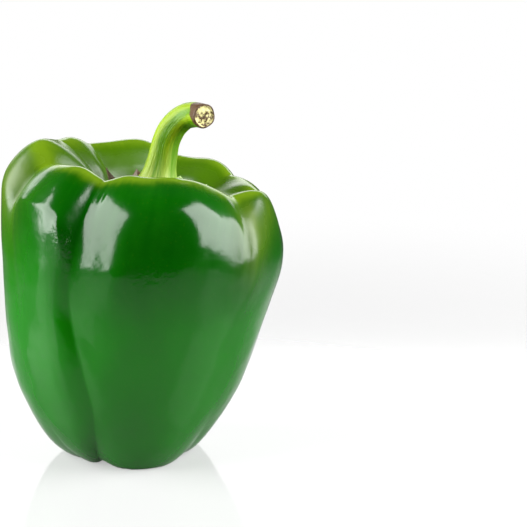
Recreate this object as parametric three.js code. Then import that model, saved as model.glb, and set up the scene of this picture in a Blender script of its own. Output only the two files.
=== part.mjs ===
// A green bell pepper as picked, standing on the feet of its lobes: the fruit, the calyx that sits in
// the well at its top, and the cut stem. Millimetres, +Z up, the table at z = 0.
// Azimuths are in degrees round +Z, from the front (-Y) towards the right (+X).
import * as THREE from "three";
import { ParametricGeometry } from "three/addons/geometries/ParametricGeometry.js";

// ---- Fruit ----
const FRUIT_HEIGHT = 97.5; // table to the level that the shoulders are measured from
const LEAN = 12; // how far the fruit's top stands to the right of its base
const BELLY_RADIUS = 43; // at the widest level
const BELLY_DROP = 21.5; // a shoulder's top to the widest level below it
const HIP_RADIUS = 37.5;
const HIP_HEIGHT = 33; // where the sides turn in towards the feet
const RIM_RADIUS = 29; // axis to the top of a shoulder
const FOOT_RADIUS = 17; // axis to the middle of a foot
const SOLE = 2.2; // half the width of the flat that a foot rests on
const FOOT_SINK = 0.7; // how much of a foot's tip is pressed flat on the table
const NAVEL_HEIGHT = 9; // the blossom end, under the middle
const SEAT_RADIUS = 17; // the round floor of the well
const SEAT_DEPTH = 16.5; // the well's floor below FRUIT_HEIGHT
const WELL_FOLD = 1.2; // how far the lobes swell into the well, and the creases between them draw back

// Each lobe's own departures from the sizes above: its crest's level and radius, how square its
// shoulder is (0 to 1), its radius at the belly and the hip, its foot's radius, and how far the foot
// hangs over the table.
const LOBES = [
  { name: "front", crest: -4.5, rim: -2, shoulder: 0.78, belly: 0, hip: 0, foot: 2.5, lift: 0 },
  { name: "right", crest: -12, rim: 2, shoulder: 0.6, belly: -0.5, hip: -3, foot: -1, lift: 1 },
  { name: "right_back", crest: -10, rim: -1, shoulder: 0.5, belly: -0.5, hip: -2.5, foot: 0, lift: 0 },
  { name: "back_right", crest: -7.5, rim: 0, shoulder: 0.7, belly: 0, hip: -1, foot: 0, lift: 0 },
  { name: "back", crest: -2, rim: 0, shoulder: 0.8, belly: 0, hip: 0, foot: 0, lift: 0 },
  { name: "back_left", crest: -0.5, rim: 6, shoulder: 0.85, belly: 3, hip: 1, foot: -1, lift: 1 },
  { name: "left", crest: 0, rim: 8, shoulder: 0.87, belly: 5, hip: 3, foot: -2, lift: 0 },
  { name: "front_left", crest: -2.5, rim: 5, shoulder: 0.85, belly: 3, hip: 1.5, foot: -2, lift: 1.5 },
];

// The groove on each lobe's left, in the same order: its azimuth at the top and at the foot, how far it
// notches the shoulder, how deep it runs down the side and at the hip, and how high it arches between
// two feet.
const GROOVES = [
  { top: -37, base: -22, notch: 4.5, side: 1.5, hip: 4, arch: 5 },
  { top: 50, base: 66, notch: 4.5, side: 1, hip: 1, arch: 1.5 },
  { top: 86, base: 100, notch: 2, side: 0.5, hip: 0.5, arch: 1 },
  { top: 127, base: 140, notch: 1.5, side: 2.5, hip: 4, arch: 5 },
  { top: 176, base: 180, notch: 2, side: 1, hip: 1, arch: 1.5 },
  { top: 224, base: 222, notch: 3, side: 2.5, hip: 4, arch: 5 },
  { top: 250, base: 250, notch: 2, side: 0.5, hip: 0.5, arch: 1 },
  { top: 282, base: 315, notch: 5.5, side: 3, hip: 0.5, arch: 0.5 },
];

const LOBE_SLICES = 10; // facets across a lobe
const SPAN_SLICES = 3; // facets between two levels of the outline

// ---- Calyx ----
const CALYX_CLEARANCE = 1; // its points to the edge of the well's floor
const CALYX_POINTS = 7;
const CALYX_WAIST = 0.87; // a side's middle, as a share of the radius at the points
const CALYX_THICKNESS = 1.8;
const CALYX_RIM = 1; // how far its edge stands above it
const POINT_SLICES = 6; // facets from one point to the next

// ---- Stem ----
const STEM_BASE_RADIUS = 9.4; // where it flares on the calyx
const STEM_FLARE = 12; // how fast the flare narrows, as a power
const STEM_RADIUS = 4.7;
const STEM_TIP_RADIUS = 3.8;
const STEM_RISE = 24.5; // the calyx to the top of the bend
const STEM_REACH = 15.5; // how far the tip bends to the right
const STEM_TURN = 9; // how far the tip comes to the front
const STEM_SIDES = 20;
const STEM_SLICES = 24; // facets along it

const GAP = 0.3; // between pieces that touch

// ---- Helpers ----
const { lerp, smoothstep, degToRad } = THREE.MathUtils;
const seatLevel = FRUIT_HEIGHT - SEAT_DEPTH;

// How far the fruit's axis stands to the right at a height.
function axisAt(height) {
  return (LEAN * height) / FRUIT_HEIGHT;
}

// 1 along a lobe's ridge and 0 in the grooves at its sides (across = -1 and 1); soft rounds the groove.
function swell(across, soft) {
  const wave = Math.cos((across * Math.PI) / 2);
  return (Math.hypot(wave, soft) - soft) / (Math.hypot(1, soft) - soft);
}

// ---- The fruit's outline from the blossom end, round a foot, up the side and down into the well ----
// Each level is [radius, height, softness of the grooves there].
function outline({ crest, rim, shoulder, belly, hip, foot, lift, fold }) {
  const bellyHeight = crest - BELLY_DROP;
  return [
    [0, NAVEL_HEIGHT, 1],
    [0.5 * foot, lerp(lift, NAVEL_HEIGHT, 0.55), 0.6],
    [foot - SOLE, lift, 0.2],
    [foot + SOLE, lift, 0.2],
    [lerp(foot, hip, 0.43), lift + 6.5, 0.2],
    [lerp(foot, hip, 0.78), 0.58 * HIP_HEIGHT, 0.25],
    [hip, HIP_HEIGHT, 0.4],
    [lerp(hip, belly, 0.54), lerp(HIP_HEIGHT, bellyHeight, 0.5), 0.6],
    [belly, bellyHeight, 0.5],
    [lerp(rim, belly, shoulder), crest - 0.36 * BELLY_DROP, 0.3],
    [rim, crest, 0.15],
    [lerp(SEAT_RADIUS, rim, 0.35) + fold, lerp(seatLevel, crest, 0.55), 0.15],
    [SEAT_RADIUS + 0.5, seatLevel + 1.2, 0.4],
    [0.8 * SEAT_RADIUS, seatLevel, 1],
    [0, seatLevel, 1],
  ];
}

function ridgeOutline(lobe) {
  return outline({
    crest: FRUIT_HEIGHT + lobe.crest,
    rim: RIM_RADIUS + lobe.rim,
    shoulder: lobe.shoulder,
    belly: BELLY_RADIUS + lobe.belly,
    hip: HIP_RADIUS + lobe.hip,
    foot: FOOT_RADIUS + lobe.foot,
    lift: lobe.lift - FOOT_SINK,
    fold: -0.5 * WELL_FOLD,
  });
}

// A groove takes the middle of its two lobes' sizes, less its own depths.
function grooveOutline(left, right, groove) {
  const middle = (key) => (left[key] + right[key]) / 2;
  return outline({
    crest: FRUIT_HEIGHT + middle("crest") - groove.notch,
    rim: RIM_RADIUS + middle("rim") - 0.2 * groove.notch,
    shoulder: middle("shoulder"),
    belly: BELLY_RADIUS + middle("belly") - groove.side,
    hip: HIP_RADIUS + middle("hip") - groove.hip,
    foot: FOOT_RADIUS + middle("foot") - groove.arch,
    lift: middle("lift") + 0.8 * groove.arch,
    fold: WELL_FOLD,
  });
}

function fruitGeometry() {
  const count = LOBES.length;
  const ridges = LOBES.map(ridgeOutline);
  const valleys = GROOVES.map((groove, i) =>
    grooveOutline(LOBES[(i + count - 1) % count], LOBES[i], groove),
  );

  // The outline at a place across a lobe, as a curve in the plane of radius and height.
  function section(i, across) {
    const next = (i + 1) % count;
    const turn = smoothstep(across, -1, 1);
    const points = ridges[i].map((ridge, level) => {
      const share = swell(across, ridge[2]);
      const valley = (k) => lerp(valleys[i][level][k], valleys[next][level][k], turn);
      return new THREE.Vector2(lerp(valley(0), ridge[0], share), lerp(valley(1), ridge[1], share));
    });
    return new THREE.SplineCurve(points);
  }

  // A groove's azimuth at a height; the last lobe ends at the first groove, a full turn on.
  function azimuth(i, height) {
    const groove = GROOVES[i % count];
    const turn = i === count ? 360 : 0;
    return lerp(groove.base, groove.top, height / FRUIT_HEIGHT) + turn;
  }

  const slices = count * LOBE_SLICES;
  const stacks = (ridges[0].length - 1) * SPAN_SLICES;
  const sections = [];
  for (let slice = 0; slice < slices; slice += 1) {
    const across = (2 * (slice % LOBE_SLICES)) / LOBE_SLICES - 1;
    sections.push(section(Math.floor(slice / LOBE_SLICES), across));
  }

  const place = new THREE.Vector2();
  function onFruit(u, v, target) {
    const slice = Math.round(u * slices) % slices;
    const lobe = Math.floor(slice / LOBE_SLICES);
    sections[slice].getPoint(v, place);
    const height = Math.max(place.y, 0);
    const share = (slice % LOBE_SLICES) / LOBE_SLICES;
    const turn = degToRad(lerp(azimuth(lobe, height), azimuth(lobe + 1, height), share));
    target.set(axisAt(height) + place.x * Math.sin(turn), -place.x * Math.cos(turn), height);
  }
  return new ParametricGeometry(onFruit, slices, stacks);
}

// ---- Calyx: a shallow dish with points, its foot on z = 0 and its axis on +Z ----
function calyxGeometry() {
  const middleRadius = STEM_BASE_RADIUS + GAP;
  const pointRadius = SEAT_RADIUS - CALYX_CLEARANCE;
  const rim = CALYX_THICKNESS + CALYX_RIM;
  // Each ring is its share of the way from the flat middle to the edge, and its height.
  const rings = [
    [0.6, 0],
    [0.92, 0.45 * CALYX_THICKNESS],
    [1, CALYX_THICKNESS],
    [0.93, rim],
    [0.7, lerp(CALYX_THICKNESS, rim, 0.3)],
    [0, CALYX_THICKNESS],
  ];
  const slices = CALYX_POINTS * POINT_SLICES;
  const stacks = rings.length + 1;
  function onCalyx(u, v, target) {
    const stack = Math.round(v * stacks);
    if (stack === 0 || stack === stacks) {
      target.set(0, 0, stack === 0 ? 0 : CALYX_THICKNESS);
      return;
    }
    const [share, height] = rings[stack - 1];
    const slice = Math.round(u * slices) % slices;
    const fromMiddle = Math.abs((2 * (slice % POINT_SLICES)) / POINT_SLICES - 1);
    const edge = pointRadius * lerp(CALYX_WAIST, 1, fromMiddle ** 2);
    const radius = lerp(middleRadius, edge, share);
    const turn = (2 * Math.PI * slice) / slices;
    target.set(radius * Math.sin(turn), -radius * Math.cos(turn), height);
  }
  return new ParametricGeometry(onCalyx, slices, stacks);
}

// ---- Stem: rings along its bend, starting flat on z = 0, with a flat cut end ----
function stemGeometry() {
  const bend = new THREE.CatmullRomCurve3([
    new THREE.Vector3(0, 0, 0),
    new THREE.Vector3(0.12 * STEM_REACH, 0, 0.4 * STEM_RISE),
    new THREE.Vector3(0.21 * STEM_REACH, 0, 0.64 * STEM_RISE),
    new THREE.Vector3(0.36 * STEM_REACH, -0.06 * STEM_TURN, 0.82 * STEM_RISE),
    new THREE.Vector3(0.58 * STEM_REACH, -0.22 * STEM_TURN, 0.95 * STEM_RISE),
    new THREE.Vector3(0.81 * STEM_REACH, -0.55 * STEM_TURN, STEM_RISE),
    new THREE.Vector3(STEM_REACH, -STEM_TURN, STEM_RISE),
  ]);
  const front = new THREE.Vector3(0, -1, 0);
  const up = new THREE.Vector3(0, 0, 1);
  const side = new THREE.Vector3();
  const over = new THREE.Vector3();
  const stacks = STEM_SLICES + 2; // and a flat cap at each end

  function radiusAt(along) {
    const shaft = lerp(STEM_RADIUS, STEM_TIP_RADIUS, along);
    return shaft + (STEM_BASE_RADIUS - STEM_RADIUS) * (1 - along) ** STEM_FLARE;
  }

  function onStem(u, v, target) {
    const stack = Math.round(v * stacks);
    const along = THREE.MathUtils.clamp((stack - 1) / STEM_SLICES, 0, 1);
    const radius = stack === 0 || stack === stacks ? 0 : radiusAt(along);
    const forward = along === 0 ? up : bend.getTangentAt(along);
    side.crossVectors(front, forward).normalize();
    over.crossVectors(forward, side);
    bend.getPointAt(along, target);
    target.addScaledVector(side, radius * Math.cos(2 * Math.PI * u));
    target.addScaledVector(over, radius * Math.sin(2 * Math.PI * u));
  }
  return new ParametricGeometry(onStem, STEM_SIDES, stacks);
}

// ---- Assembly ----
function piece(name, geometry, color, roughness) {
  const mesh = new THREE.Mesh(
    geometry,
    new THREE.MeshStandardMaterial({ color, roughness, metalness: 0 }),
  );
  mesh.name = name;
  return mesh;
}

const fruit = piece("fruit", fruitGeometry(), 0x1d6b10, 0.15);

const calyx = piece("calyx", calyxGeometry(), 0x4d7a1c, 0.55);
calyx.position.set(axisAt(seatLevel), 0, seatLevel + GAP);

const stem = piece("stem", stemGeometry(), 0x7fa824, 0.5);
stem.position.set(axisAt(seatLevel), 0, seatLevel + 2 * GAP + CALYX_THICKNESS);

const pepper = new THREE.Group();
pepper.add(fruit, calyx, stem);

// The origin is on the table, under the middle of the whole pepper.
const extent = new THREE.Box3().setFromObject(pepper, true);
const middle = extent.getCenter(new THREE.Vector3());
pepper.position.set(-middle.x, -middle.y, -extent.min.z);
pepper.updateMatrixWorld(true);

export default pepper;
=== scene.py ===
"""A green bell pepper, cut from its plant with the stem on, standing on the feet of its lobes.

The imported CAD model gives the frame. The fruit, the calyx and the stem are modelled here in full, and
each takes its plain CAD piece's place. Tables and shape functions are in millimetres, and a piece is
scaled to metres when it is finished. Azimuths are in degrees round +Z, from the front (-Y) towards the
right (+X).
"""

import math
from bisect import bisect_right
from collections import namedtuple

import bmesh
import bpy
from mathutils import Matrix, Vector, noise


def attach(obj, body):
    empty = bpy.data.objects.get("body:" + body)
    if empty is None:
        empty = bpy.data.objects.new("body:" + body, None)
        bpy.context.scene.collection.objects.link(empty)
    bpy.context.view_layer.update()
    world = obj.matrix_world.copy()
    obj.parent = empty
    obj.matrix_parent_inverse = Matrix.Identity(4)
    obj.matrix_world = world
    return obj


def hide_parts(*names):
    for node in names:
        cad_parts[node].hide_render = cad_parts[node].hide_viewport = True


bl_info = {
    "name": "Green bell pepper",
    "version": (1, 0, 0),
    "blender": (4, 5, 0),
    "location": "View3D > Sidebar > Pepper",
    "description": "Builds a green bell pepper with its calyx, its stem and a plain studio",
    "category": "Object",
}

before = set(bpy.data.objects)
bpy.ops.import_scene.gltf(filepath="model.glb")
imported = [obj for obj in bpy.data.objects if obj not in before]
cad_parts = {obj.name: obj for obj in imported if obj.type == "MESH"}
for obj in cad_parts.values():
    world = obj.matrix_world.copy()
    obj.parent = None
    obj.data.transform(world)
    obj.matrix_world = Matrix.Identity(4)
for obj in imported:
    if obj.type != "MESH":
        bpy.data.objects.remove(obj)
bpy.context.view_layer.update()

MM = 0.001
BODY = "root"
# Points nearer than this, in millimetres, are one point.
SEAM = 1e-4

# ---- The fruit's shape ----
# The levels of its outline, from the blossom end, round a foot, up the side and down into the well. A
# level between two of them is a fraction.
(NAVEL, ARCH, SOLE_INNER, SOLE_OUTER, INSTEP, CALF, HIP, FLANK, BELLY, SHOULDER, CREST, LIP, WALL,
 FLOOR, MIDDLE) = range(15)

# Each lobe, from the front one round to the right. Its crest's height and radius, its belly's radius and
# height, its hip's radius and its foot's radius are how far they differ from the fruit's own. Then there
# are how square its shoulder is (0 to 1), how far its foot hangs over the table, and how roundly it falls
# to its grooves (lower is flatter, with steeper banks).
Lobe = namedtuple("Lobe", "name crest rim shoulder belly high hip foot lift fall")
LOBES = (
    Lobe("front", -4.5, -2, 0.80, 0, -2.5, 0, 3.5, 0, 1),
    Lobe("right", -12.5, 5.5, 0.66, -0.3, 0, -1.2, 1, 1, 1),
    Lobe("right_back", -12.8, 2, 0.6, -0.5, 0, -0.8, 1.5, 0, 1),
    Lobe("back_right", -8, 0, 0.7, 0, 0, -1, 0, 0, 1),
    Lobe("back", -2, 0, 0.8, 0, 0, 0, 0, 0, 1),
    Lobe("back_left", 0, 6, 0.85, 3, 0, 1, -1, 1, 0.9),
    Lobe("left", 1.5, 8.5, 0.9, 5, 2, 3, -1, 0, 0.8),
    Lobe("front_left", -3, 5, 0.88, 3, 8, 2.5, 0, 1, 0.62),
)

# The groove before each lobe, in the lobes' order: its azimuth at levels from the foot up, how far it
# notches the crest, how deep it is at the shoulder (bank), at the belly (side), at the hip (waist) and
# between two feet (arch), and how blunt its bottom is (1 is the usual).
Groove = namedtuple("Groove", "path notch bank side waist arch blunt")
FRONT_LEFT_PATH = (
    (SOLE_OUTER, -23), (CALF, -18), (HIP, -22.5), (FLANK, -30.5), (BELLY, -30), (SHOULDER, -29.5),
    (CREST, -31), (LIP, -33),
)
FRONT_RIGHT_PATH = ((SOLE_OUTER, 62), (HIP, 52), (BELLY, 44), (SHOULDER, 46), (CREST, 53))
RIGHT_PATH = ((SOLE_OUTER, 98), (HIP, 94), (BELLY, 90), (CREST, 88))
BACK_RIGHT_PATH = ((SOLE_OUTER, 140), (HIP, 135), (CREST, 127))
BACK_PATH = ((SOLE_OUTER, 180), (CREST, 176))
BACK_LEFT_PATH = ((SOLE_OUTER, 222), (CREST, 231))
LEFT_BACK_PATH = ((SOLE_OUTER, 250), (CREST, 250))
LEFT_PATH = ((SOLE_OUTER, 315), (HIP, 306), (BELLY, 291), (CREST, 278))
GROOVES = (
    Groove(FRONT_LEFT_PATH, 3.2, 1.6, 2.6, 1.3, 1.5, 0.9),
    Groove(FRONT_RIGHT_PATH, 4.5, 0.5, 0.5, 0.8, 1, 0.7),
    Groove(RIGHT_PATH, 0.6, 0.4, 0.3, 0.3, 0.8, 1.2),
    Groove(BACK_RIGHT_PATH, 2, 1, 2.5, 4, 4, 0.7),
    Groove(BACK_PATH, 2, 0.5, 1, 1, 1.5, 0.8),
    Groove(BACK_LEFT_PATH, 1.5, 1, 2.5, 4, 4, 0.7),
    Groove(LEFT_BACK_PATH, 0.8, 0.5, 0.5, 0.5, 1, 0.8),
    Groove(LEFT_PATH, 5, 1.5, 2, 0, 0.2, 0.9),
)

# Places where the skin swells or sinks: azimuth, level, how far it spreads in degrees and in levels,
# how far it stands out, and how far it rises.
Dab = namedtuple("Dab", "azimuth level wide tall out up")
DABS = (
    Dab(-18, CREST, 10, 1.0, 0, 1.4),
    Dab(20, CREST, 22, 1.0, 0, -1.3),
    Dab(-24.5, 9.45, 1.3, 0.35, -0.35, 0),
    Dab(-7, 8.2, 9, 0.9, 1.2, 0),
    Dab(48, 8.9, 9, 1.2, 2.0, 0),
    Dab(45.5, 8.9, 1.9, 0.9, -0.5, 0),
    Dab(-44, CREST, 8, 1.0, 0, 1.0),
    Dab(-38.5, 9.0, 6, 0.9, 1.4, 0),
    Dab(-34.2, 8.45, 3.2, 0.6, 2.2, 0),
    Dab(-36, 7.6, 7, 0.9, 1.1, 0),
    Dab(98, CREST, 18, 1.4, -1.0, -0.6),
    Dab(84, CREST, 10, 1.0, 0, -1.8),
    Dab(64, CREST, 9, 1.0, 0, 0.9),
)

# Places where the skin is marked: azimuth, level, how far the mark spreads in degrees and in levels, and
# how strong it is (0 to 1).
Mark = namedtuple("Mark", "azimuth level wide tall strength")
# It turns yellow here.
BLUSHES = (
    Mark(-88, 9.0, 22, 1.3, 0.85),
    Mark(66, 9.4, 16, 0.7, 0.5),
    Mark(51, 8.9, 9, 0.8, 0.75),
)
# It is finely dimpled here.
DIMPLES = (
    Mark(-33, 8.0, 3.5, 0.35, 0.8),
    Mark(5, 7.8, 9, 0.25, 0.4),
)

# How finely each piece is turned: cuts between two points of its outline, and steps round the axis.
FRUIT_CUTS, FRUIT_STEPS = 8, 360
CALYX_CUTS, CALYX_STEPS = 3, 280
STEM_CUTS, STEM_STEPS = 3, 120


# ---- Curves and small sums ----
def lerp(a, b, share):
    return a + (b - a) * share


def smooth(share):
    share = min(max(share, 0.0), 1.0)
    return share * share * (3 - 2 * share)


def in_mm(length):
    return length / MM


def spline(points, place):
    """A point on the smooth curve through points, where place counts them from 0."""
    last = len(points) - 1
    i = min(int(place), last - 1)
    t = place - i
    a, b = points[max(i - 1, 0)], points[i]
    c, d = points[i + 1], points[min(i + 2, last)]
    result = []
    for p, q, r, s in zip(a, b, c, d):
        v, w = (r - p) / 2, (s - q) / 2
        result.append(((2 * q - 2 * r + v + w) * t + (3 * r - 3 * q - 2 * v - w)) * t * t + v * t + q)
    return result


def graded(knots, x):
    """A smooth value at x between knots of (x, value)."""
    xs = [knot[0] for knot in knots]
    x = min(max(x, xs[0]), xs[-1])
    i = min(max(bisect_right(xs, x) - 1, 0), len(knots) - 2)

    def slope(k):
        before, after = knots[max(k - 1, 0)], knots[min(k + 1, len(knots) - 1)]
        return (after[1] - before[1]) / (after[0] - before[0])

    span = xs[i + 1] - xs[i]
    t = (x - xs[i]) / span
    low, high = knots[i][1], knots[i + 1][1]
    return (
        low * (1 + 2 * t) * (1 - t) ** 2
        + high * t * t * (3 - 2 * t)
        + span * t * (1 - t) * (slope(i) * (1 - t) - slope(i + 1) * t)
    )


def bump(distance):
    """1 in the middle, falling softly to nothing."""
    return math.exp(-distance * distance)


def nearness(azimuth, level, mark):
    """How near a place on the skin is to a mark, from 0 to 1."""
    away = (azimuth - mark.azimuth + 180) % 360 - 180
    return bump(math.hypot(away / mark.wide, (level - mark.level) / mark.tall))


def marked(azimuth, level, marks):
    """How strongly a place on the skin is marked, from 0 to 1."""
    return min(sum(mark.strength * nearness(azimuth, level, mark) for mark in marks), 1)


def swell(across, soft):
    """1 along a lobe's ridge and 0 in the grooves at its sides, which soft rounds."""
    wave = math.cos(across * math.pi / 2)
    return (math.hypot(wave, soft) - soft) / (math.hypot(1, soft) - soft)


def ripple(point, size, seed):
    """Smooth noise from -1 to 1 with waves of about that size."""
    return noise.noise(Vector(point) / size + Vector((seed, seed * 1.7, -seed)))


# ---- Making pieces ----
def foot_centre(node):
    """The middle of a CAD node's flat underside, in millimetres."""
    flat = 0.05 * MM
    corners = [vert.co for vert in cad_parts[node].data.vertices]
    low = min(co.z for co in corners)
    under = [co for co in corners if co.z < low + flat]
    lowest = Vector([min(co[k] for co in under) for k in range(3)])
    highest = Vector([max(co[k] for co in under) for k in range(3)])
    return (lowest + highest) / 2 / MM


def turned(rings, cuts, steps):
    """A closed body turned round +Z from a few points of (radius, height), the first and last on the
    axis. Each point knows which ring it is on, with fractions between two rings."""
    body = bmesh.new()
    ring_layer = body.verts.layers.float.new("ring")
    corners = []
    for number, (radius, height) in enumerate(rings):
        corner = body.verts.new((0, -radius, height))
        corner[ring_layer] = number
        corners.append(corner)
    edges = [body.edges.new(pair) for pair in zip(corners, corners[1:])]
    bmesh.ops.subdivide_edges(body, edges=edges, cuts=cuts)
    bmesh.ops.spin(
        body,
        geom=body.verts[:] + body.edges[:],
        cent=(0, 0, 0),
        axis=(0, 0, 1),
        angle=2 * math.pi,
        steps=steps,
        use_merge=True,
    )
    bmesh.ops.remove_doubles(body, verts=body.verts, dist=SEAM)
    bmesh.ops.recalc_face_normals(body, faces=body.faces)
    return body


def turn_of(vert):
    """The azimuth of a point that has just been turned, from 0 to 360."""
    return math.degrees(math.atan2(vert.co.x, -vert.co.y)) % 360


def finish_piece(body, name, material):
    """Turns a bmesh in millimetres into a finished piece in metres."""
    bmesh.ops.scale(body, vec=(MM, MM, MM), verts=body.verts)
    for face in body.faces:
        face.smooth = True
    mesh = bpy.data.meshes.new(name)
    body.to_mesh(mesh)
    body.free()
    piece = bpy.data.objects.new(name, mesh)
    bpy.context.scene.collection.objects.link(piece)
    mesh.materials.append(material)
    return piece


# ---- Material nodes ----
class Shader:
    """A material's node tree, built from short calls."""

    def __init__(self, name):
        self.material = bpy.data.materials.new(name)
        self.material.use_nodes = True
        self.tree = self.material.node_tree
        self.surface = self.tree.nodes["Principled BSDF"]

    def node(self, kind, **settings):
        made = self.tree.nodes.new("ShaderNode" + kind)
        for key, value in settings.items():
            setattr(made, key, value)
        return made

    def plug(self, value, socket):
        """Sets a socket to a number or colour, or joins it to another socket."""
        if isinstance(value, bpy.types.NodeSocket):
            self.tree.links.new(value, socket)
        else:
            socket.default_value = value

    def place(self):
        return self.node("TexCoord").outputs["Object"]

    def attribute(self, name, output="Fac"):
        return self.node("Attribute", attribute_name=name).outputs[output]

    def combine(self, operation, a, b):
        made = self.node("Math", operation=operation)
        self.plug(a, made.inputs[0])
        self.plug(b, made.inputs[1])
        return made.outputs[0]

    def plus(self, a, b):
        return self.combine("ADD", a, b)

    def times(self, a, b):
        return self.combine("MULTIPLY", a, b)

    def noise(self, vector, scale, detail, roughness=0.5):
        made = self.node("TexNoise")
        self.plug(vector, made.inputs["Vector"])
        made.inputs["Scale"].default_value = scale
        made.inputs["Detail"].default_value = detail
        made.inputs["Roughness"].default_value = roughness
        return made.outputs["Fac"]

    def cells(self, vector, scale):
        made = self.node("TexVoronoi")
        self.plug(vector, made.inputs["Vector"])
        made.inputs["Scale"].default_value = scale
        return made.outputs["Distance"]

    def band(self, value, low, high, bottom=0.0, top=1.0):
        """Goes smoothly from bottom to top as value goes from low to high."""
        made = self.node("MapRange", interpolation_type="SMOOTHSTEP")
        self.plug(value, made.inputs["Value"])
        made.inputs["From Min"].default_value = low
        made.inputs["From Max"].default_value = high
        made.inputs["To Min"].default_value = bottom
        made.inputs["To Max"].default_value = top
        return made.outputs["Result"]

    def mix(self, share, a, b):
        made = self.node("Mix", data_type="RGBA")
        self.plug(share, made.inputs["Factor"])
        self.plug(a, made.inputs["A"])
        self.plug(b, made.inputs["B"])
        return made.outputs["Result"]

    def set(self, name, value):
        """Sets one of the surface's own sockets."""
        self.plug(value, self.surface.inputs[name])

    def raised(self, heights):
        """Bumps the surface by each (height socket, depth in metres)."""
        normal = None
        for height, depth in heights:
            made = self.node("Bump")
            made.inputs["Distance"].default_value = depth
            self.plug(height, made.inputs["Height"])
            if normal is not None:
                self.plug(normal, made.inputs["Normal"])
            normal = made.outputs["Normal"]
        self.set("Normal", normal)


# ---- Settings ----
def colour_property(name, description, default):
    return bpy.props.FloatVectorProperty(
        name=name, description=description, subtype="COLOR", size=4, min=0, max=1, default=default
    )


def size_property(name, description, default):
    return bpy.props.FloatProperty(
        name=name, description=description, unit="LENGTH", subtype="DISTANCE", default=default
    )


class PepperFruitSettings(bpy.types.PropertyGroup):
    lean: size_property("Lean", "How far the top stands to the right of the base", 0.012)
    height: size_property("Height", "Table to the level that the shoulders are measured from", 0.0975)
    belly_radius: size_property("Belly radius", "At the widest level", 0.043)
    belly_drop: size_property("Belly drop", "A shoulder's top to the widest level below it", 0.0215)
    hip_radius: size_property("Hip radius", "Where the sides turn in towards the feet", 0.0375)
    hip_height: size_property("Hip height", "Table to the hip", 0.033)
    rim_radius: size_property("Rim radius", "Axis to the top of a shoulder", 0.029)
    foot_radius: size_property("Foot radius", "Axis to the middle of a foot", 0.017)
    seat_radius: size_property("Seat radius", "The round floor of the well", 0.017)
    seat_depth: size_property("Seat depth", "The well's floor below the height", 0.0165)
    skin: colour_property("Skin", "The deep green of the upper sides", (0.0012, 0.062, 0.0005, 1))
    skin_light: colour_property("Light skin", "The fresher green of its mottling", (0.004, 0.088, 0.001, 1))
    # Painted light: the lighter green below the belly stands in for light bounced up from the table.
    skin_bounce_lit: colour_property("Lower skin", "The lighter green below the belly", (0.004, 0.132, 0.0008, 1))
    blush: colour_property("Blush", "Where the skin turns yellow", (0.085, 0.145, 0.004, 1))
    # Partly painted light: the pale crest line is partly the tissue's yellow green and partly a painted rim
    # highlight.
    crest: colour_property("Crest", "The pale line along the tops of the lobes", (0.13, 0.23, 0.006, 1))
    well: colour_property("Well", "The yellow green of the shoulders and the well", (0.046, 0.122, 0.001, 1))


class PepperCalyxSettings(bpy.types.PropertyGroup):
    points: bpy.props.IntProperty(name="Points", description="How many points it has", default=7)
    thickness: size_property("Thickness", "Its middle's thickness", 0.0018)
    green: colour_property("Green", "Its face", (0.045, 0.14, 0.012, 1))
    pale: colour_property("Pale", "Its rim and flecks", (0.45, 0.62, 0.22, 1))
    dry: colour_property("Dry", "The dried tips and underside", (0.07, 0.035, 0.008, 1))


class PepperStemSettings(bpy.types.PropertyGroup):
    base_radius: size_property("Base radius", "Where it flares on the calyx", 0.0094)
    radius: size_property("Radius", "Above the flare", 0.0047)
    tip_radius: size_property("Tip radius", "At the cut", 0.0038)
    rise: size_property("Rise", "Calyx to the top of the bend", 0.0245)
    reach: size_property("Reach", "How far the tip bends to the right", 0.0155)
    turn: size_property("Turn", "How far the tip comes to the front", 0.009)
    # Skin is also the painted light on the bend's outer side, and Dark skin also the painted shade on its
    # inner side.
    skin: colour_property("Skin", "The fresh stem", (0.235, 0.355, 0.006, 1))
    skin_pale: colour_property("Pale skin", "The paler fibres near its foot", (0.48, 0.58, 0.17, 1))
    skin_dark_and_shade: colour_property("Dark skin", "The grooves between its ribs", (0.080, 0.215, 0.0006, 1))
    dry: colour_property("Dry", "The dried collar at the cut", (0.085, 0.045, 0.018, 1))
    pith: colour_property("Pith", "The cut face", (0.72, 0.66, 0.30, 1))


class PepperStageSettings(bpy.types.PropertyGroup):
    camera_distance: size_property("Camera distance", "Camera to the point it looks at", 0.6)
    camera_elevation: bpy.props.FloatProperty(
        name="Camera elevation", description="Above the table", subtype="ANGLE", default=math.radians(12.5)
    )
    camera_lens: bpy.props.FloatProperty(name="Lens", description="On a 36 mm sensor", default=127.96)
    camera_aim: bpy.props.FloatVectorProperty(
        name="Camera aim", description="The point it looks at", subtype="XYZ", size=3,
        default=(0.03786, 0.01273, 0.05741),
    )
    floor: colour_property("Floor", "The white table", (0.5, 0.5, 0.5, 1))


# ---- Fruit ----
# Heights and widths that all lobes share, in millimetres. A sole sinks below the table before it is
# flattened, and the well's wall folds in at a lobe and out at a groove.
NAVEL_HEIGHT = 9
HALF_SOLE = 2.2
INSTEP_RISE = 6.5
FOOT_SINK = 0.7
WELL_FOLD = 1.2
WALL_FOOT_OUT, WALL_FOOT_RISE = 0.5, 1.2

# Where the levels between those sizes lie, as shares of the way out or up from one size to the next.
ARCH_OUT, ARCH_RISE = 0.5, 0.55
INSTEP_OUT = 0.43
CALF_OUT, CALF_RISE = 0.78, 0.58
FLANK_OUT, FLANK_RISE = 0.54, 0.5
SHOULDER_DROP = 0.36
LIP_OUT, LIP_RISE = 0.35, 0.55
FLOOR_OUT = 0.8

# How much of a groove's notch also narrows the rim, and how much of its arch also lifts the skin.
NOTCH_IN = 0.2
ARCH_LIFT = 0.8

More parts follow.
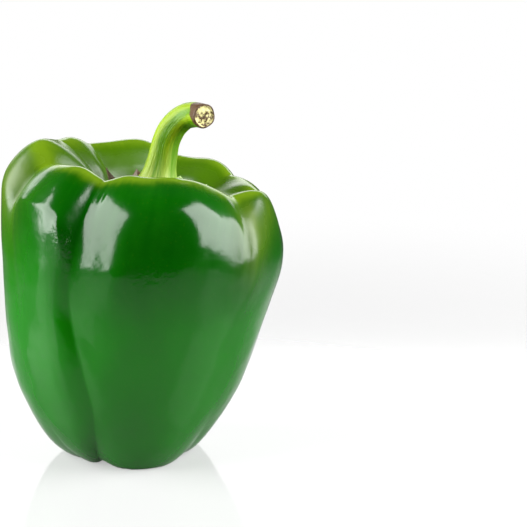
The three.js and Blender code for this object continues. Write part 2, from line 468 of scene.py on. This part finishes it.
# How soft the grooves are at each level, and the least that they are between two levels.
SOFTNESS = (1, 0.6, 0.2, 0.2, 0.2, 0.25, 0.4, 0.6, 0.5, 0.3, 0.15, 0.15, 0.4, 1, 1)
LEAST_SOFT = 0.05

# The skin's unevenness: how far it stands out, the size of its waves, and the noise's seed.
RIPPLES = ((0.45, 17, 3.1), (0.16, 7, 8.3))


def outline(sizes, crest, rim, shoulder, belly, high, hip, foot, lift, fold, bank=0):
    """Radius and height at each level, in millimetres."""
    seat = in_mm(sizes.height - sizes.seat_depth)
    seat_radius = in_mm(sizes.seat_radius)
    drop = in_mm(sizes.belly_drop)
    hip_height = in_mm(sizes.hip_height)
    belly_height = crest - drop + high
    return (
        (0, NAVEL_HEIGHT),
        (ARCH_OUT * foot, lerp(lift, NAVEL_HEIGHT, ARCH_RISE)),
        (foot - HALF_SOLE, lift),
        (foot + HALF_SOLE, lift),
        (lerp(foot, hip, INSTEP_OUT), lift + INSTEP_RISE),
        (lerp(foot, hip, CALF_OUT), CALF_RISE * hip_height),
        (hip, hip_height),
        (lerp(hip, belly, FLANK_OUT), lerp(hip_height, belly_height, FLANK_RISE)),
        (belly, belly_height),
        (lerp(rim, belly, shoulder) - bank, crest - SHOULDER_DROP * drop),
        (rim, crest),
        (lerp(seat_radius, rim, LIP_OUT) + fold, lerp(seat, crest, LIP_RISE)),
        (seat_radius + WALL_FOOT_OUT, seat + WALL_FOOT_RISE),
        (FLOOR_OUT * seat_radius, seat),
        (0, seat),
    )


def ridge_outline(sizes, lobe):
    return outline(
        sizes,
        crest=in_mm(sizes.height) + lobe.crest,
        rim=in_mm(sizes.rim_radius) + lobe.rim,
        shoulder=lobe.shoulder,
        belly=in_mm(sizes.belly_radius) + lobe.belly,
        high=lobe.high,
        hip=in_mm(sizes.hip_radius) + lobe.hip,
        foot=in_mm(sizes.foot_radius) + lobe.foot,
        lift=lobe.lift - FOOT_SINK,
        fold=-0.5 * WELL_FOLD,
    )


def groove_outline(sizes, left, right, groove):
    """A groove takes the middle of its two lobes' sizes, less its own depths."""

    def middle(key):
        return (getattr(left, key) + getattr(right, key)) / 2

    return outline(
        sizes,
        crest=in_mm(sizes.height) + middle("crest") - groove.notch,
        rim=in_mm(sizes.rim_radius) + middle("rim") - NOTCH_IN * groove.notch,
        shoulder=middle("shoulder"),
        belly=in_mm(sizes.belly_radius) + middle("belly") - groove.side,
        high=middle("high"),
        hip=in_mm(sizes.hip_radius) + middle("hip") - groove.waist,
        foot=in_mm(sizes.foot_radius) + middle("foot") - groove.arch,
        lift=middle("lift") + ARCH_LIFT * groove.arch,
        fold=WELL_FOLD,
        bank=groove.bank,
    )


class FruitShape:
    """Where the skin is, from a level of the outline and a turn round the axis."""

    def __init__(self, sizes):
        self.sizes = sizes
        self.count = len(LOBES)
        self.ridges = [ridge_outline(sizes, lobe) for lobe in LOBES]
        self.valleys = []
        for i, groove in enumerate(GROOVES):
            self.valleys.append(groove_outline(sizes, LOBES[i - 1], LOBES[i], groove))
        self.seat = foot_centre("stem")
        self.softness = [(soft,) for soft in SOFTNESS]
        self.sections = {}

    def section(self, i, level):
        """A lobe's ridge, its two grooves' bottoms and the softness at a level."""
        key = (i, round(level, 4))
        if key not in self.sections:
            following = (i + 1) % self.count
            self.sections[key] = (
                spline(self.ridges[i], level),
                spline(self.valleys[i], level),
                spline(self.valleys[following], level),
                max(spline(self.softness, level)[0], LEAST_SOFT),
                self.groove_azimuth(i, level),
                self.groove_azimuth(i + 1, level),
            )
        return self.sections[key]

    def groove_azimuth(self, i, level):
        return graded(GROOVES[i % self.count].path, level) + 360 * (i // self.count)

    def lobe_at(self, turn):
        """Which lobe a turn falls in, and its share of the way across it."""
        knots = [groove.path[-1][1] for groove in GROOVES]
        knots.append(knots[0] + 360)
        turn = (turn - knots[0]) % 360 + knots[0]
        i = min(bisect_right(knots, turn) - 1, self.count - 1)
        return i, (turn - knots[i]) / (knots[i + 1] - knots[i])

    def axis(self, height):
        lean = in_mm(self.sizes.lean) / in_mm(self.sizes.height)
        seat_height = in_mm(self.sizes.height - self.sizes.seat_depth)
        return self.seat.x + lean * (height - seat_height)

    def at(self, level, turn):
        """The point in millimetres, and how yellow and how dimpled the skin is there, from 0 to 1."""
        i, share = self.lobe_at(turn)
        ridge, left, right, soft, azimuth_left, azimuth_right = self.section(i, level)
        blend = smooth(share)
        blunt = lerp(GROOVES[i].blunt, GROOVES[(i + 1) % self.count].blunt, blend)
        full = swell(2 * share - 1, soft * blunt) ** LOBES[i].fall
        radius = lerp(lerp(left[0], right[0], blend), ridge[0], full)
        height = lerp(lerp(left[1], right[1], blend), ridge[1], full)
        azimuth = lerp(azimuth_left, azimuth_right, share)
        for dab in DABS:
            weight = nearness(azimuth, level, dab)
            radius += dab.out * weight
            height += dab.up * weight
        # The soles and the well's floor stay even.
        loose = smooth((level - SOLE_OUTER) / 2) * (1 - smooth((level - LIP) / 1.5))
        angle = math.radians(azimuth)
        around = Vector((math.sin(angle), -math.cos(angle), 0))
        plain = around * radius + Vector((0, 0, height))
        radius += loose * sum(out * ripple(plain, size, seed) for out, size, seed in RIPPLES)
        height = max(height, 0)
        point = around * radius + Vector((self.axis(height), self.seat.y, height))
        return point, marked(azimuth, level, BLUSHES), marked(azimuth, level, DIMPLES)


def skin_material(colours):
    skin = Shader("pepper_skin")
    place = skin.place()
    grain = skin.attribute("grain", "Vector")
    ring = skin.attribute("ring")
    blush = skin.attribute("blush")
    mottle = skin.noise(place, 42, 4, 0.55)
    streaks = skin.noise(grain, 3.2, 3, 0.55)

    # The sides are mottled green and yellow in places, and below the belly they are painted lighter: painted
    # light standing in for light bounced up from the table.
    uneven = skin.plus(skin.times(mottle, 0.75), skin.times(streaks, 0.25))
    base = skin.mix(skin.band(uneven, 0.34, 0.72), colours.skin, colours.skin_light)
    lower = skin.band(ring, 6.6, 8.4, 1, 0)
    base = skin.mix(skin.times(lower, skin.band(mottle, 0.3, 0.7, 0.8, 1)), base, colours.skin_bounce_lit)
    yellow = skin.times(blush, skin.band(streaks, 0.3, 0.65, 0.65, 1))
    base = skin.mix(yellow, base, colours.blush)

    # The well begins at the crest with an uneven edge, and a pale line is painted along the crest: partly
    # the yellow green of its tissue and partly a painted rim highlight.
    ragged = skin.plus(skin.times(mottle, 0.8), skin.times(skin.noise(grain, 5, 2), 0.2))
    upper = skin.plus(ring, skin.times(ragged, 0.7))
    base = skin.mix(skin.band(upper, CREST - 0.2, CREST + 0.6), base, colours.well)
    crest_highlight_start = skin.band(upper, CREST - 0.05, CREST + 0.3)
    crest_highlight_end = skin.band(upper, CREST + 0.4, CREST + 0.9, 1, 0)
    base = skin.mix(skin.times(skin.times(crest_highlight_start, crest_highlight_end), 0.8), base, colours.crest)
    specks = skin.band(skin.cells(place, 620), 0.10, 0.22, 1, 0)
    base = skin.mix(skin.times(specks, 0.1), base, colours.well)
    skin.set("Base Color", base)

    # It is duller inside the well and where it is yellow.
    gloss = skin.band(skin.noise(place, 160, 4), 0.35, 0.7, 0.13, 0.18)
    inside = skin.band(ring, CREST + 0.15, CREST + 0.8, 0, 0.15)
    skin.set("Roughness", skin.plus(skin.plus(gloss, inside), skin.times(blush, 0.22)))
    skin.set("IOR", 1.43)
    dimples = skin.times(skin.attribute("dimples"), skin.noise(place, 420, 4, 0.6))
    skin.raised(
        (
            (skin.noise(place, 95, 2, 0.4), 0.00035),
            (skin.noise(place, 430, 2, 0.5), 0.00004),
            (dimples, 0.0009),
        )
    )
    return skin.material


class PEPPER_OT_fruit(bpy.types.Operator):
    """Builds the lobed fruit with its well and feet"""

    bl_idname = "pepper.fruit"
    bl_label = "Fruit"

    def execute(self, context):
        settings = context.scene.pepper_fruit
        shape = FruitShape(settings)
        body = turned(shape.ridges[0], FRUIT_CUTS, FRUIT_STEPS)
        ring_layer = body.verts.layers.float["ring"]
        blush_layer = body.verts.layers.float.new("blush")
        dimple_layer = body.verts.layers.float.new("dimples")
        grain_layer = body.verts.layers.float_vector.new("grain")
        for vert in body.verts:
            turn = turn_of(vert)
            level = vert[ring_layer]
            angle = math.radians(turn)
            vert.co, vert[blush_layer], vert[dimple_layer] = shape.at(level, turn)
            vert[grain_layer] = Vector((4 * math.sin(angle), 4 * math.cos(angle), 0.18 * level))
        piece = finish_piece(body, "fruit_skin", skin_material(settings))
        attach(piece, BODY)
        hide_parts("fruit")
        return {"FINISHED"}


# ---- Calyx ----
# Rings from the middle of its underside, out round the edge and back in over the top: the share of the
# way from the stem to the edge (below 0 is under the stem), and the height as a share of the thickness.
CALYX_RINGS = (
    (-1.0, 0.0), (0.0, 0.0), (0.6, 0.05), (0.9, 0.35), (0.985, 0.85), (1.0, 1.1), (0.975, 1.25),
    (0.9, 1.05), (0.75, 0.8), (0.55, 0.85), (0.35, 1.05), (0.15, 1.2), (0.02, 1.1), (-0.12, 1.0),
    (-1.0, 1.0),
)
# The ring at its edge.
CALYX_EDGE = 5
# Its points' radius, the edge's radius between two points as a share of that, and the gap to the stem.
POINT_RADIUS = 16.2
CALYX_WAIST = 0.85
STEM_GAP = 0.3
# How far each point curls up the wall of the well, from the front one round to the right.
CALYX_CURLS = (1.6, 2.4, 1.2, 2.0, 4.2, 6.6, 2.2)
# The curl at which a point begins to dry, and how much further it curls until it is all dry.
DRY_CURL, DRY_SPAN = 1.5, 2.5


def calyx_radius(share, collar, edge):
    """From the middle (-1) to the stem's foot (0) and on to the edge (1)."""
    return lerp(collar, edge, share) if share >= 0 else collar * (1 + share)


def calyx_point(settings, seat, ring, turn, collar):
    """The point in millimetres, and how dried up it is, from 0 to 1."""
    share, rise = spline(CALYX_RINGS, ring)
    count = settings.points
    number = turn / 360 * count
    from_middle = abs(2 * (number % 1) - 1)
    edge = POINT_RADIUS * lerp(CALYX_WAIST, 1, from_middle**2.2)
    angle = math.radians(turn)
    radius = calyx_radius(share, collar, edge)
    height = rise * in_mm(settings.thickness)
    outer = smooth((share - 0.45) / 0.55)
    before = int(number) % count
    after = (before + 1) % count
    curls = [CALYX_CURLS[k % len(CALYX_CURLS)] for k in (before, after)]
    curl = lerp(*curls, smooth(number % 1))
    lifted = outer * outer * curl * lerp(0.35, 1, from_middle**3)
    ruffle = smooth((share - 0.1) / 0.3) * (1 - smooth((share - 0.8) / 0.2))
    around = Vector((math.sin(angle), -math.cos(angle), 0))
    flat = around * radius
    upper = smooth((ring - CALYX_EDGE) / 1.5)
    height += upper * ruffle * (0.55 * ripple(flat, 1.7, 2.2) + 0.35 * ripple(flat, 0.9, 5.0))
    height += lifted + 0.25 * outer * ripple(flat, 6, 9.0)
    return flat + Vector((seat.x, seat.y, seat.z + height)), smooth((lifted - DRY_CURL) / DRY_SPAN)


def calyx_material(colours):
    tissue = Shader("calyx_tissue")
    place = tissue.place()
    ring = tissue.attribute("ring")
    flecks = tissue.band(tissue.noise(place, 900, 2), 0.56, 0.68)
    face = tissue.mix(flecks, colours.green, colours.pale)
    rim_start = tissue.band(ring, CALYX_EDGE - 0.8, CALYX_EDGE)
    rim_end = tissue.band(ring, CALYX_EDGE + 1, CALYX_EDGE + 2.2, 1, 0)
    face = tissue.mix(tissue.times(rim_start, rim_end), face, colours.pale)
    under = tissue.band(ring, CALYX_EDGE - 1.2, CALYX_EDGE - 0.4, 1, 0)
    face = tissue.mix(under, face, colours.dry)
    patchy = tissue.plus(tissue.attribute("dried"), tissue.noise(place, 500, 2))
    face = tissue.mix(tissue.band(patchy, 0.75, 1.1), face, colours.dry)
    tissue.set("Base Color", face)
    tissue.set("Roughness", 0.5)
    tissue.raised(((tissue.noise(place, 700, 3), 0.0003),))
    return tissue.material


class PEPPER_OT_calyx(bpy.types.Operator):
    """Builds the pointed calyx in the well"""

    bl_idname = "pepper.calyx"
    bl_label = "Calyx"

    def execute(self, context):
        settings = context.scene.pepper_calyx
        seat = foot_centre("calyx")
        seat.x, seat.y = foot_centre("stem").xy
        collar = in_mm(context.scene.pepper_stem.base_radius) + STEM_GAP
        plain = [(calyx_radius(share, collar, POINT_RADIUS), rise) for share, rise in CALYX_RINGS]
        body = turned(plain, CALYX_CUTS, CALYX_STEPS)
        ring_layer = body.verts.layers.float["ring"]
        dried_layer = body.verts.layers.float.new("dried")
        for vert in body.verts:
            ring = vert[ring_layer]
            vert.co, vert[dried_layer] = calyx_point(settings, seat, ring, turn_of(vert), collar)
        piece = finish_piece(body, "calyx_leaf", calyx_material(settings))
        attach(piece, BODY)
        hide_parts("calyx")
        return {"FINISHED"}


# ---- Stem ----
# Rings from the middle of its underside, up the outside and in over the cut: the share of its length,
# and the share of its radius there.
STEM_RINGS = (
    (0, 0), (0, 0.92), (0.012, 1), (0.06, 1), (0.13, 1), (0.22, 1), (0.34, 1), (0.46, 1), (0.58, 1),
    (0.70, 1), (0.80, 1), (0.87, 1), (0.915, 1), (0.955, 1), (0.99, 1), (1, 0.95), (1, 0.84), (0.99, 0.7),
    (0.992, 0.4), (0.992, 0),
)
# The ring at the cut's edge.
STEM_CUT = 15
STEM_RIBS = 5
# How long the straight stem is before it is shaped.
PLAIN_LENGTH = 10
# How many short straight steps follow each part of the bend.
BEND_STEPS = 20
# How quickly the flare at its foot dies away.
FLARE_POWER = 10


def stem_along(ring):
    """The share of the stem's length at a ring."""
    return min(max(spline(STEM_RINGS, ring)[0], 0), 1)


def stem_rib(along, angle):
    """1 on the stem's ribs and -1 between them. The ribs twist a little."""
    return math.cos(STEM_RIBS * angle + 1.5 * along + 0.6)


class StemShape:
    """Where the stem's skin is, from a ring and a turn round its bent middle."""

    def __init__(self, settings):
        self.settings = settings
        self.foot = foot_centre("stem")
        rise, reach, turn = (in_mm(size) for size in (settings.rise, settings.reach, settings.turn))
        path = (
            (0, 0, 0),
            (0.12 * reach, 0, 0.4 * rise),
            (0.21 * reach, 0, 0.64 * rise),
            (0.36 * reach, -0.06 * turn, 0.82 * rise),
            (0.58 * reach, -0.22 * turn, 0.95 * rise),
            (0.81 * reach, -0.55 * turn, rise),
            (reach, -turn, rise),
        )
        count = BEND_STEPS * (len(path) - 1) + 1
        self.points = [Vector(spline(path, k / BEND_STEPS)) for k in range(count)]
        self.lengths = [0.0]
        for before, after in zip(self.points, self.points[1:]):
            self.lengths.append(self.lengths[-1] + (after - before).length)

    def middle(self, along):
        """The point at a share of the length, and the direction there."""
        wanted = along * self.lengths[-1]
        i = min(max(bisect_right(self.lengths, wanted) - 1, 0), len(self.lengths) - 2)
        step = self.points[i + 1] - self.points[i]
        share = (wanted - self.lengths[i]) / (self.lengths[i + 1] - self.lengths[i])
        forward = (self.points[min(i + 2, len(self.points) - 1)] - self.points[max(i - 1, 0)]).normalized()
        if along <= 0:
            forward = Vector((0, 0, 1))
        return self.points[i] + step * share, forward

    def at(self, ring, turn):
        along = stem_along(ring)
        share = max(spline(STEM_RINGS, ring)[1], 0)
        settings = self.settings
        radius = lerp(in_mm(settings.radius), in_mm(settings.tip_radius), along)
        radius += in_mm(settings.base_radius - settings.radius) * (1 - along) ** FLARE_POWER
        angle = math.radians(turn)
        ribbed = 0.045 * stem_rib(along, angle) * (1 - 0.6 * along)
        oval = 0.02 * math.cos(2 * angle + 1)
        radius *= 1 + ribbed + oval
        radius += 0.12 * ripple((3 * math.sin(angle), 3 * math.cos(angle), 24 * along), 2.4, 4.4)
        centre, forward = self.middle(along)
        side = Vector((0, -1, 0)).cross(forward).normalized()
        over = forward.cross(side)
        out = side * math.sin(angle) - over * math.cos(angle)
        point = centre + out * radius * share
        if ring > STEM_CUT:
            point += forward * 0.25 * ripple(point, 1.1, 6.0)
        return point + self.foot


def stem_material(colours):
    bark = Shader("stem_bark")
    place = bark.place()
    grain = bark.attribute("grain", "Vector")
    ring = bark.attribute("ring")
    outer = bark.attribute("outer")
    fibres = bark.noise(grain, 7, 4, 0.6)

    # The ribs and the fibres are lighter and the foot is paler. The bend's outer side is painted lighter as
    # painted light, and its inner side darker as painted shade.
    ribbed = bark.plus(bark.times(bark.attribute("rib"), 0.55), bark.times(fibres, 0.8))
    tone_and_painted_light = bark.plus(ribbed, bark.times(outer, 0.5))
    green = bark.mix(bark.band(tone_and_painted_light, 0.65, 1.3), colours.skin_dark_and_shade, colours.skin)
    paler = bark.times(bark.band(ring, 3.0, 7.0, 0.6, 0), bark.band(fibres, 0.35, 0.6))
    green = bark.mix(paler, green, colours.skin_pale)

    # The end dries with a ragged edge, further down on the outer side, and the cut's pith is cracked.
    ragged = bark.plus(ring, bark.times(bark.noise(place, 500, 3), 1.6))
    dried = bark.band(bark.plus(ragged, bark.times(outer, 2.6)), 14.5, 14.75)
    skin = bark.mix(dried, green, colours.dry)
    cracks = bark.band(bark.noise(place, 520, 4, 0.75), 0.49, 0.56)
    pith = bark.mix(cracks, colours.pith, colours.dry)
    face = bark.mix(bark.band(ring, STEM_CUT + 0.7, STEM_CUT + 1.1), skin, pith)
    bark.set("Base Color", face)
    bark.set("Roughness", 0.36)
    bark.set("IOR", 1.33)
    bark.raised(((bark.noise(grain, 12, 4), 0.0002), (bark.noise(place, 900, 3), 0.00008)))
    return bark.material


class PEPPER_OT_stem(bpy.types.Operator):
    """Builds the bent stem with its flared foot and dried cut"""

    bl_idname = "pepper.stem"
    bl_label = "Stem"

    def execute(self, context):
        settings = context.scene.pepper_stem
        shape = StemShape(settings)
        plain = [(share, PLAIN_LENGTH * along) for along, share in STEM_RINGS]
        body = turned(plain, STEM_CUTS, STEM_STEPS)
        ring_layer = body.verts.layers.float["ring"]
        rib_layer = body.verts.layers.float.new("rib")
        outer_layer = body.verts.layers.float.new("outer")
        grain_layer = body.verts.layers.float_vector.new("grain")
        for vert in body.verts:
            turn = turn_of(vert)
            ring = vert[ring_layer]
            angle = math.radians(turn)
            along = stem_along(ring)
            vert[rib_layer] = 0.5 + 0.5 * stem_rib(along, angle)
            # Which side of the bend a point is on: the stem's material paints light on the outer side and
            # shade on the inner side.
            vert[outer_layer] = 0.5 + 0.5 * math.sin(angle)
            vert[grain_layer] = Vector((math.sin(angle), math.cos(angle), 0.5 * along))
            vert.co = shape.at(ring, turn)
        piece = finish_piece(body, "stem_bark", stem_material(settings))
        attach(piece, BODY)
        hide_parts("stem")
        return {"FINISHED"}


# ---- Stage ----
# Soft lights: azimuth and elevation in degrees, then distance, width and height in metres, and radiance.
Light = namedtuple("Light", "name azimuth elevation distance wide tall radiance")
LIGHTS = (
    Light("key_left", -76.5, 21, 0.85, 0.81, 1.04, 9.4),
    Light("key_right", 78, 25, 0.85, 0.66, 0.88, 10.5),
    Light("rim_back", 180, 20, 1.0, 1.4, 0.32, 2.2),
)
LIGHTS_AIM = Vector((0, 0, 0.05))
# The table: half its side, and how far its middle is behind the fruit. Its front edge fades in between
# the first two, and with distance from the fruit it fades from that alpha to nothing.
TABLE_HALF = 0.6
TABLE_BACK = 0.40
TABLE_FRONT = (-0.19, -0.16)
TABLE_FADE = (0.06, 0.4)
TABLE_ALPHA = 0.62
TABLE_SHADE = (0.45, 0.46, 0.46, 1)
WHITE = (1, 1, 1, 1)
# The camera's sensor in millimetres, and the nearest that it sees in metres.
SENSOR_WIDTH = 36
CLIP_START = 0.01


def direction(azimuth, elevation):
    a, e = math.radians(azimuth), math.radians(elevation)
    return Vector((math.sin(a) * math.cos(e), -math.cos(a) * math.cos(e), math.sin(e)))


def add_light(light):
    data = bpy.data.lights.new(light.name, "AREA")
    data.shape = "RECTANGLE"
    data.size = light.wide
    data.size_y = light.tall
    data.energy = light.radiance * math.pi * light.wide * light.tall
    lamp = bpy.data.objects.new(light.name, data)
    towards = direction(light.azimuth, light.elevation)
    lamp.location = LIGHTS_AIM + towards * light.distance
    lamp.rotation_euler = towards.to_track_quat("Z", "Y").to_euler()
    lamp.visible_camera = False
    bpy.context.scene.collection.objects.link(lamp)


def floor_material(colour):
    """A white glossy table that fades out at its edges."""
    table = Shader("white_table")
    place = table.place()
    shade = table.times(table.noise(place, 3, 2), 0.03)
    table.set("Base Color", table.mix(shade, colour, TABLE_SHADE))
    table.set("Roughness", 0.1)
    table.set("IOR", 1.45)
    table.set("Emission Color", WHITE)
    table.set("Emission Strength", 0.1)
    parts = table.node("SeparateXYZ")
    table.plug(place, parts.inputs[0])
    away = table.node("VectorMath", operation="LENGTH")
    table.plug(place, away.inputs[0])
    behind_edge = table.band(parts.outputs["Y"], *TABLE_FRONT)
    near = table.band(away.outputs["Value"], *TABLE_FADE, TABLE_ALPHA, 0)
    table.set("Alpha", table.times(behind_edge, near))
    return table.material


def white_world():
    """Pure white behind everything, and for the gloss a room that is dark in front and white behind."""
    world = bpy.data.worlds.new("studio")
    bpy.context.scene.world = world
    world.use_nodes = True
    tree = world.node_tree
    room = tree.nodes["Background"]
    towards = tree.nodes.new("ShaderNodeSeparateXYZ")
    tree.links.new(tree.nodes.new("ShaderNodeTexCoord").outputs["Generated"], towards.inputs[0])
    sweep = tree.nodes.new("ShaderNodeMapRange")
    sweep.interpolation_type = "SMOOTHSTEP"
    for name, value in (("From Min", -0.05), ("From Max", 0.35), ("To Min", 0.02), ("To Max", 1.0)):
        sweep.inputs[name].default_value = value
    tree.links.new(towards.outputs["Y"], sweep.inputs["Value"])
    tree.links.new(sweep.outputs["Result"], room.inputs["Strength"])
    seen = tree.nodes.new("ShaderNodeBackground")
    seen.inputs["Color"].default_value = WHITE
    path = tree.nodes.new("ShaderNodeLightPath")
    choice = tree.nodes.new("ShaderNodeMixShader")
    tree.links.new(path.outputs["Is Camera Ray"], choice.inputs["Fac"])
    tree.links.new(room.outputs[0], choice.inputs[1])
    tree.links.new(seen.outputs[0], choice.inputs[2])
    tree.links.new(choice.outputs[0], tree.nodes["World Output"].inputs["Surface"])


class PEPPER_OT_stage(bpy.types.Operator):
    """Sets up the white table, the soft lights and the camera"""

    bl_idname = "pepper.stage"
    bl_label = "Stage"

    def execute(self, context):
        settings = context.scene.pepper_stage
        table = bmesh.new()
        bmesh.ops.create_grid(table, x_segments=1, y_segments=1, size=TABLE_HALF)
        bmesh.ops.translate(table, vec=(0, TABLE_BACK, 0), verts=table.verts)
        mesh = bpy.data.meshes.new("table")
        table.to_mesh(mesh)
        table.free()
        mesh.materials.append(floor_material(settings.floor))
        floor = bpy.data.objects.new("table", mesh)
        context.scene.collection.objects.link(floor)

        white_world()
        for light in LIGHTS:
            add_light(light)

        data = bpy.data.cameras.new("camera")
        data.sensor_width = SENSOR_WIDTH
        data.lens = settings.camera_lens
        data.clip_start = CLIP_START
        camera = bpy.data.objects.new("camera", data)
        towards = direction(0, math.degrees(settings.camera_elevation))
        camera.location = Vector(settings.camera_aim) + towards * settings.camera_distance
        camera.rotation_euler = towards.to_track_quat("Z", "Y").to_euler()
        context.scene.collection.objects.link(camera)
        context.scene.camera = camera
        context.scene.view_settings.view_transform = "Standard"
        return {"FINISHED"}


class PEPPER_PT_panel(bpy.types.Panel):
    bl_label = "Green bell pepper"
    bl_idname = "PEPPER_PT_panel"
    bl_space_type = "VIEW_3D"
    bl_region_type = "UI"
    bl_category = "Pepper"

    def draw(self, context):
        for group, operator in PARTS:
            box = self.layout.box()
            box.operator(operator)
            settings = getattr(context.scene, group)
            for key in settings.__annotations__:
                box.prop(settings, key)


# Each group of settings on the scene, with the operator that reads it.
PARTS = (
    ("pepper_stage", "pepper.stage"),
    ("pepper_fruit", "pepper.fruit"),
    ("pepper_calyx", "pepper.calyx"),
    ("pepper_stem", "pepper.stem"),
)
SETTINGS = {
    "pepper_fruit": PepperFruitSettings,
    "pepper_calyx": PepperCalyxSettings,
    "pepper_stem": PepperStemSettings,
    "pepper_stage": PepperStageSettings,
}
CLASSES = (
    *SETTINGS.values(),
    PEPPER_OT_fruit,
    PEPPER_OT_calyx,
    PEPPER_OT_stem,
    PEPPER_OT_stage,
    PEPPER_PT_panel,
)


def register():
    for cls in CLASSES:
        bpy.utils.register_class(cls)
    for name, group in SETTINGS.items():
        setattr(bpy.types.Scene, name, bpy.props.PointerProperty(type=group))


def unregister():
    for name in SETTINGS:
        delattr(bpy.types.Scene, name)
    for cls in reversed(CLASSES):
        bpy.utils.unregister_class(cls)


def main():
    register()
    bpy.ops.pepper.stage()
    bpy.ops.pepper.fruit()
    bpy.ops.pepper.calyx()
    bpy.ops.pepper.stem()


if __name__ == "__main__":
    main()
